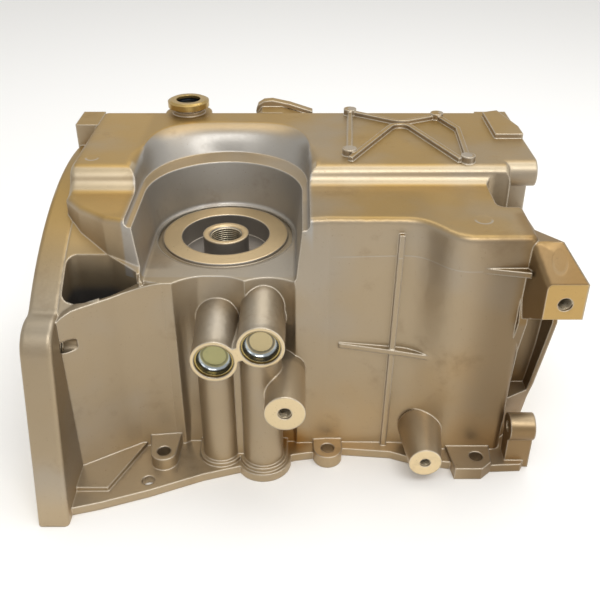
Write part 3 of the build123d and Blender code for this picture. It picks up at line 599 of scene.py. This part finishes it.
# Each limit is an axis, a side, a value and, where it isn't softEdge, how soft it is
castRegions = {
    "recessBack": (("recessAcross", "under", 56.5, 1.0), ("y", "under", 88.0)),
    "recessFront": (("recessAcross", "under", 55.5, 0.8), ("y", "under", 14.5)),
    "recessSides": (("z", "over", 131.5), ("z", "under", 179.6), ("y", "over", -55.0, 1.0)),
    "recessSheen": (("z", "under", 150.0, 12.0), ("y", "over", 15.0, 15.0)),
    "recessFloor": (
        ("z", "under", 132.7, 0.3), ("z", "over", 120.0),
        ("y", "over", -45.0, 3.0), ("x", "under", -82.0, 14.0),
    ),
    "seat": (("z", "over", 132.65, 0.05), ("z", "under", 134.0), ("filterRadius", "under", 41.1, 0.1)),
    "annulus": (("filterRadius", "under", 28.9, 0.1), ("z", "under", 132.6), ("z", "over", 100.0)),
    "plugWeb": (
        ("y", "under", -90.9, 0.08), ("x", "over", -45.0), ("x", "under", -30.0), ("z", "over", 85.0),
    ),
    "armFace": (("y", "under", -90.9, 0.08), ("x", "over", 136.0)),
    "foot": (("z", "under", 0.05, 0.04),),
    "plateFace": (("x", "under", -160.4, 0.08),),
    "endFace": (("x", "over", 151.4, 0.06), ("z", "under", 181.0), ("y", "over", -70.0)),
    "plugMouth": (("y", "under", -85.0, 1.0),),
    "parting": (
        ("y", "under", -45.0), ("x", "over", 22.0, 6.0), ("x", "under", 104.0), ("upward", "under", 0.4, 0.1),
    ),
    "foldHighlight": (
        ("tilt", "over", 0.5, 0.1), ("z", "over", 160.0, 2.0),
        ("y", "over", -16.0, 3.0), ("y", "under", 12.0, 3.0),
    ),
    "pocket": (
        ("z", "under", 119.0, 4.0), ("z", "over", 12.0), ("x", "under", -97.0), ("x", "over", -142.0),
        ("y", "under", -44.0), ("y", "over", -73.0), ("behindWall", "over", 3.4, 0.5),
    ),
    "shadedFarEnd": (("x", "over", 104.5, 20.5), ("upward", "under", 0.5, 0.4), ("y", "under", -20.0, 15.0)),
    "arm": (("x", "over", 126.0, 4.0), ("y", "under", -45.0, 3.0), ("z", "over", 112.0, 2.0)),
    "shelf": (
        ("y", "under", -14.0, 4.0), ("z", "over", 158.0, 3.0),
        ("x", "over", 0.0, 4.0), ("x", "under", 78.0, 16.0),
    ),
    "shoulder": (
        ("x", "under", -108.0, 4.0), ("x", "over", -142.0, 4.0),
        ("z", "over", 140.0, 4.0), ("y", "over", -40.0, 5.0),
    ),
    "bossSide": (("bossRadius", "under", 13.4, 0.3), ("y", "under", -68.0, 3.0), ("y", "over", -105.8)),
}
bossFace = {"axis": (-9.5, 68.0), "reach": 12.6, "face": -105.9}
coneFace = {"axis": (79.0, 19.4), "reach": 10.5, "face": -95.9}
plugFaces = (
    {"axis": (-51.5, 95.0), "reach": 14.5, "face": -90.9},
    {"axis": (-23.5, 105.0), "reach": 14.5, "face": -90.9},
)
ejectorMarks = (
    {"at": (-134.9, 15.4), "radius": 4.6, "above": 178.5},
    {"at": (106.0, -54.4), "radius": 5.6, "above": 168.5},
    {"at": (144.3, -83.1), "radius": 4.6, "above": 140.0},
)
deckPads = ((38.7, 100.0), (103.7, 91.0), (32.2, 21.4), (105.3, 9.5))

castMaterial, g, shader = newMaterial("castAluminium")
axes = g.place()
x, y, z = axes["x"], axes["y"], axes["z"]
bevelled = g.bevel(cast["edgeRadius"], cast["edgeSamples"])
tilt = g.split(bevelled)[2]
upward = g.ramp(tilt, *cast["upwardFrom"])
filterRadius = g.radius(x, y, castPlaces["filterAxis"])
axes.update({
    "tilt": tilt,
    "upward": upward,
    "filterRadius": filterRadius,
    "bossRadius": g.radius(x, z, bossFace["axis"]),
    "recessAcross": g.math("ABSOLUTE", g.math("SUBTRACT", x, shape["recessCentre"][0])),
    "behindWall": g.math("MULTIPLY_ADD", x, -castPlaces["pocketSlope"], y),
})
areas = {name: g.region(axes, limits) for name, limits in castRegions.items()}
inRecess = g.either(areas["recessBack"], areas["recessFront"])
steep = g.ramp(tilt, *castPlaces["steepFrom"], 1.0, castPlaces["levelShare"])
masks = {
    # Painted reflection: a cooler grey on the steep recess walls
    "recess": g.both(inRecess, areas["recessSides"], steep),
    "seat": areas["seat"],
    "annulus": areas["annulus"],
    # Painted highlight along the step's fold
    "foldHighlight": g.both(g.ramp(tilt, *castPlaces["foldFrom"]), areas["foldHighlight"], g.invert(inRecess)),
    # Painted shade in the deep pocket
    "pocket": areas["pocket"],
}
masks["recessSheen"] = g.both(masks["recess"], areas["recessSheen"])

# Faces left bright by the cutter
turned = []
for face in (bossFace, coneFace, *plugFaces):
    onDisc = g.under(g.radius(x, z, face["axis"]), face["reach"])
    turned.append(g.both(onDisc, g.under(y, face["face"], castPlaces["cutSoft"])))
cutAreas = [areas[name] for name in ("plugWeb", "armFace", "foot", "plateFace", "endFace")]
masks["machined"] = g.either(areas["seat"], *turned, *cutAreas)
plugRings = [g.under(g.radius(x, z, face["axis"]), castPlaces["plugGapReach"]) for face in plugFaces]
masks["plugGap"] = g.both(g.either(*plugRings), areas["plugMouth"])

# Ejector marks and pads, with a painted highlight on each dish's near rim and on the pads
dishes, crescents = [], []
for mark in ejectorMarks:
    markRadius = g.radius(x, y, mark["at"])
    onTop = g.both(g.over(z, mark["above"]), upward)
    dish = g.both(g.under(markRadius, mark["radius"], castPlaces["dishSoft"]), onTop)
    width, soft = castPlaces["crescent"]
    nearSide = g.under(y, mark["at"][1], castPlaces["crescentSide"])
    dishes.append(dish)
    crescents.append(g.both(dish, g.over(markRadius, mark["radius"] - width, soft), nearSide))
overPads = g.over(z, castPlaces["padsAbove"])
pads = [g.both(g.under(g.radius(x, y, centre), *castPlaces["padReach"]), overPads) for centre in deckPads]
masks["markHighlights"] = g.either(*crescents, *pads)

# The parting line on the front wall, raised and given a painted highlight, and one amber stain
lineHeight = g.math("MULTIPLY_ADD", x, *castPlaces["partingLine"])
lineGap = g.math("ABSOLUTE", g.math("SUBTRACT", z, lineHeight))
masks["parting"] = g.both(g.under(lineGap, *castPlaces["partingWidth"]), areas["parting"])
stainSpot = g.node("ShaderNodeVectorMath", operation="DISTANCE")
g.feed(stainSpot.inputs[0], axes["point"])
stainSpot.inputs[1].default_value = [value * mm for value in castPlaces["amberAt"]]
stainStart, stainEnd = castPlaces["amberFrom"]
masks["amber"] = g.ramp(stainSpot.outputs["Value"], stainStart * mm, stainEnd * mm, 1.0, 0.0)

# Broad warm and cool patches on the cast skin
hue = g.noise(axes["point"], *castPlaces["hue"])
unmachined = g.invert(masks["machined"])
masks["warm"] = g.both(g.ramp(hue, *castPlaces["warmFrom"]), unmachined)
masks["cool"] = g.both(g.ramp(hue, *castPlaces["coolFrom"]), unmachined)

# Painted light: the up-facing faces take the golden colour and the walls the greyer one
levelColor = g.mix(g.ramp(z, *cast["goldenFrom"]), cast["level"], cast["deck"])
baseColor = g.mix(upward, cast["side"], levelColor)
for name, (color, share) in cast["patches"].items():
    baseColor = g.mix(g.math("MULTIPLY", masks[name], share), baseColor, color)

# Tints, and painted light and shade by place: painted shade on the far end, the arm's top, the recess floor
# and the shelf, painted light on the shoulder, the boss's side and the low faces
tinted = {
    "shadedFarEnd": areas["shadedFarEnd"],
    "arm": g.both(areas["arm"], g.invert(areas["armFace"])),
    "armFace": areas["armFace"],
}
for name, color in cast["tints"].items():
    baseColor = g.mix(tinted[name], baseColor, color, "MULTIPLY")
shadedAreas = {
    "shadedFarEnd": areas["shadedFarEnd"],
    "armTop": g.both(areas["arm"], upward),
    "recessFloor": g.both(inRecess, areas["recessFloor"]),
    "shelf": g.both(areas["shelf"], upward),
    "shoulder": areas["shoulder"],
    "bossSide": areas["bossSide"],
}
shade = g.ramp(z, *cast["footFrom"], 1.0, cast["footBounceLight"])
for name, strength in cast["shades"].items():
    shade = g.math("MULTIPLY", shade, g.ramp(shadedAreas[name], 0.0, 1.0, 1.0, strength))
baseColor = g.scaled(baseColor, shade)

# Painted highlight along the edges, convex and concave, where the rounded normal leaves the flat one
edge = g.node("ShaderNodeVectorMath", operation="DOT_PRODUCT")
g.feed(edge.inputs[0], bevelled)
g.feed(edge.inputs[1], g.node("ShaderNodeNewGeometry").outputs["Normal"])
edgeHighlight = g.ramp(edge.outputs["Value"], *cast["edgeFrom"], 1.0, 0.0)
baseColor = g.mix(g.math("MULTIPLY", edgeHighlight, cast["edgeHighlightShare"]), baseColor, cast["edge"])

# Concentric tool marks on the seat, dished ejector marks and a raised parting line
skin = g.metalSkin(baseColor, cast)
wave = g.math("SINE", g.math("MULTIPLY", filterRadius, 2 * math.pi / castPlaces["seatPitch"]))
seatMarks = g.both(g.math("MULTIPLY_ADD", wave, 0.5, 0.5), masks["seat"])
surface = g.math("MULTIPLY_ADD", seatMarks, cast["seatMarkHeight"], skin["Height"])
surface = g.math("MULTIPLY_ADD", g.either(*dishes), -cast["ejectorDepth"], surface)
surface = g.math("MULTIPLY_ADD", masks["parting"], cast["partingHeight"], surface)
roughness = g.ramp(masks["machined"], 0.0, 1.0, cast["roughness"], cast["machinedRoughness"])
finishMetal(g, shader, skin, cast, roughness, surface, bevelled)
dress(panBody, castMaterial)
print("pan casting done")

# Core plugs: a stained floor, a dark ring, a bright wall and a brass-coloured rim
cups = {
    "core_plug_left": {
        "axis": (-51.5, 95.0),
        "floor": (0.33, 0.31, 0.15, 1.0),
        "tint": (0.13, 0.17, 0.10, 1.0),
        "ring": (0.16, 0.15, 0.08, 1.0),
    },
    "core_plug_right": {
        "axis": (-23.5, 105.0),
        "floor": (0.44, 0.36, 0.20, 1.0),
        "tint": (0.10, 0.09, 0.06, 1.0),
        "ring": (0.10, 0.09, 0.07, 1.0),
    },
}
cupLook = {
    "wall": (0.40, 0.44, 0.46, 1.0),
    "rim": (0.36, 0.27, 0.10, 1.0),
    "line": (0.05, 0.04, 0.02, 1.0),
    # Bands by radius, each with its share and its limits
    "bands": (
        ("wall", 1.0, (("cup", "over", 8.6, 0.5),)),
        ("ring", 0.85, (("cup", "over", 6.9, 0.3), ("cup", "under", 8.2, 0.4))),
        ("rim", 1.0, (("cup", "over", 10.5, 0.3),)),
        ("line", 0.8, (("cup", "over", 10.0, 0.2), ("cup", "under", 10.7, 0.2))),
    ),
    "wander": 1.6,
    "wanderNoise": (90.0, 3.0, 0.5),
    "tone": 0.6,
    "stain": 0.7,
    "roughness": 0.2,
    "metallic": 0.9,
    "edgeRadius": 0.5,
    "edgeSamples": 6,
    "bumpStrength": 0.3,
    "bumpDepth": 0.1,
}
for name, cup in cups.items():
    look = {**cupLook, **cup}
    material, g, shader = newMaterial(name + "Metal")
    axes = g.place()
    drift = g.math("SUBTRACT", g.noise(axes["point"], *look["wanderNoise"]), 0.5)
    axes["cup"] = g.math("MULTIPLY_ADD", drift, look["wander"], g.radius(axes["x"], axes["z"], look["axis"]))
    cupColor = look["floor"]
    for band, share, limits in look["bands"]:
        cupColor = g.mix(g.math("MULTIPLY", g.region(axes, limits), share), cupColor, look[band])
    skin = g.metalSkin(cupColor, look)
    bevelled = g.bevel(look["edgeRadius"], look["edgeSamples"])
    finishMetal(g, shader, skin, look, look["roughness"], skin["Height"], bevelled)
    dress(nodes[name], material)
print("core plugs done")

# Drain plug and its washer, with painted shade in the socket
fittings = {
    "drain_plug": {
        "piece": drainHead,
        "color": (0.45, 0.31, 0.11, 1.0),
        "tint": (0.16, 0.11, 0.05, 1.0),
        "roughness": 0.30,
    },
    "drain_plug_washer": {
        "piece": nodes["drain_plug_washer"],
        "color": (0.52, 0.47, 0.38, 1.0),
        "tint": (0.3, 0.24, 0.16, 1.0),
        "roughness": 0.28,
    },
}
fittingLook = {
    # Painted shade, near black, inside the socket
    "socketShade": (0.03, 0.035, 0.04, 1.0),
    "socket": (("drain", "under", 8.9, 0.1), ("z", "under", 188.2, 0.6), ("z", "over", 180.0)),
    "tone": 0.5,
    "stain": 0.6,
    "metallic": 0.9,
    "edgeRadius": 0.8,
    "edgeSamples": 6,
    "bumpStrength": 0.2,
    "bumpDepth": 0.08,
}
for name, fitting in fittings.items():
    look = {**fittingLook, **fitting}
    material, g, shader = newMaterial(name + "Metal")
    axes = g.place()
    axes["drain"] = g.radius(axes["x"], axes["y"], shape["drainAxis"])
    skin = g.metalSkin(g.mix(g.region(axes, look["socket"]), look["color"], look["socketShade"]), look)
    bevelled = g.bevel(look["edgeRadius"], look["edgeSamples"])
    finishMetal(g, shader, skin, look, look["roughness"], skin["Height"], bevelled)
    dress(look["piece"], material)
print("drain plug and washer done")

# Threads: a single ridge wound down the wall of each tapped hole
upright = (0.0, 0.0, 0.0)
alongY = (90.0, 0.0, 0.0)
alongX = (0.0, 90.0, 0.0)
threads = {
    "filterThread": {
        "at": (-49.5, 0.5, 131.9), "turn": upright,
        "radius": 10.25, "pitch": 1.5, "turns": 10, "depth": 0.85,
    },
    "roundBossThread": {
        "at": (-9.5, -105.2, 68.0), "turn": alongY,
        "radius": 4.25, "pitch": 1.25, "turns": 14, "depth": 0.65,
    },
    "coneBossThread": {
        "at": (79.0, -95.2, 19.4), "turn": alongY,
        "radius": 3.4, "pitch": 1.25, "turns": 12, "depth": 0.6,
    },
    "armThread": {
        "at": (149.0, -90.2, 135.0), "turn": alongY,
        "radius": 4.25, "pitch": 1.25, "turns": 8, "depth": 0.65,
    },
    "plateThread": {
        "at": (-142.0, -84.5, 102.0), "turn": alongX,
        "radius": 4.25, "pitch": 1.25, "turns": 14, "depth": 0.6,
    },
}
threadLook = {
    "color": (0.62, 0.54, 0.40, 1.0),
    "tint": (0.18, 0.14, 0.1, 1.0),
    "tone": 0.3,
    "stain": 0.3,
    "roughness": 0.3,
    "metallic": 0.9,
    "bumpStrength": 0.1,
    "bumpDepth": 0.05,
    "ridgeShare": 0.46,
    "stepsPerTurn": 36,
}
threadMaterial, g, shader = newMaterial("cutThread")
skin = g.metalSkin(threadLook["color"], threadLook)
finishMetal(g, shader, skin, threadLook, threadLook["roughness"], skin["Height"])


def cutThread(name, look):
    bpy.ops.mesh.primitive_circle_add(vertices=3, radius=1.0)
    thread = bpy.context.object
    thread.name = name
    half = look["pitch"] * threadLook["ridgeShare"]
    crest = look["radius"] - look["depth"]
    placeCorners(thread, ((look["radius"], 0.0, half), (crest, 0.0, 0.0), (look["radius"], 0.0, -half)))
    screw = thread.modifiers.new("wind", "SCREW")
    screw.axis = "Z"
    screw.angle = 2 * math.pi * look["turns"]
    screw.screw_offset = -look["pitch"] * mm * look["turns"]
    screw.steps = threadLook["stepsPerTurn"] * look["turns"]
    screw.render_steps = threadLook["stepsPerTurn"] * look["turns"]
    screw.use_smooth_shade = True
    bpy.ops.object.modifier_apply(modifier="wind")
    thread.rotation_euler = [math.radians(angle) for angle in look["turn"]]
    thread.location = [value * mm for value in look["at"]]
    bpy.ops.object.transform_apply(location=True, rotation=True, scale=True)
    thread.data.materials.append(threadMaterial)
    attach(thread, "root")


for name, look in threads.items():
    cutThread(name, look)
print("threads done")

# Pale floor under a soft sky
stage = {"size": 4.0, "drop": 0.2, "color": (0.93, 0.925, 0.91, 1.0), "roughness": 0.9}
bpy.ops.mesh.primitive_plane_add(size=stage["size"], location=(0.0, 0.0, -stage["drop"] * mm))
floor = bpy.context.object
floor.name = "floor"
floorMaterial, g, shader = newMaterial("paleFloor")
shader.inputs["Base Color"].default_value = stage["color"]
shader.inputs["Roughness"].default_value = stage["roughness"]
floor.data.materials.append(floorMaterial)

sky = {"color": (1.0, 0.99, 0.97, 1.0), "strength": 0.72}
world = bpy.data.worlds.new("studio")
bpy.context.scene.world = world
world.use_nodes = True
background = world.node_tree.nodes["Background"]
background.inputs["Color"].default_value = sky["color"]
background.inputs["Strength"].default_value = sky["strength"]

# Soft boxes, in metres
lights = {
    "overheadBox": {"at": (0.15, 0.35, 1.15), "to": (0.0, 0.0, 0.1), "size": (1.1, 0.7), "watts": 5.0},
    "browBox": {"at": (0.15, -0.72, 1.15), "to": (0.0, -0.05, 0.12), "size": (0.9, 0.4), "watts": 7.0},
    "rightBox": {"at": (1.1, -0.75, 0.5), "to": (0.0, 0.0, 0.1), "size": (0.6, 0.6), "watts": 2.0},
}
for name, look in lights.items():
    data = bpy.data.lights.new(name, "AREA")
    data.shape = "RECTANGLE"
    data.size, data.size_y = look["size"]
    data.energy = look["watts"]
    lamp = bpy.data.objects.new(name, data)
    bpy.context.scene.collection.objects.link(lamp)
    lamp.location = look["at"]
    aim = [end - start for start, end in zip(look["at"], look["to"])]
    tipped = math.atan2(math.hypot(aim[0], aim[1]), -aim[2])
    lamp.rotation_euler = (tipped, 0.0, math.atan2(-aim[0], aim[1]))

view = {"at": (-0.0005, -0.4716, 0.3761), "pitch": 58.0, "lens": 48.0, "film": 36.0, "near": 0.01}  # metres
cameraData = bpy.data.cameras.new("frontCamera")
cameraData.lens = view["lens"]
cameraData.sensor_width = view["film"]
cameraData.clip_start = view["near"]
camera = bpy.data.objects.new("frontCamera", cameraData)
camera.location = view["at"]
camera.rotation_euler = (math.radians(view["pitch"]), 0.0, 0.0)
bpy.context.scene.collection.objects.link(camera)
bpy.context.scene.camera = camera
bpy.context.scene.view_settings.view_transform = "Standard"
print("stage, lights and camera done")
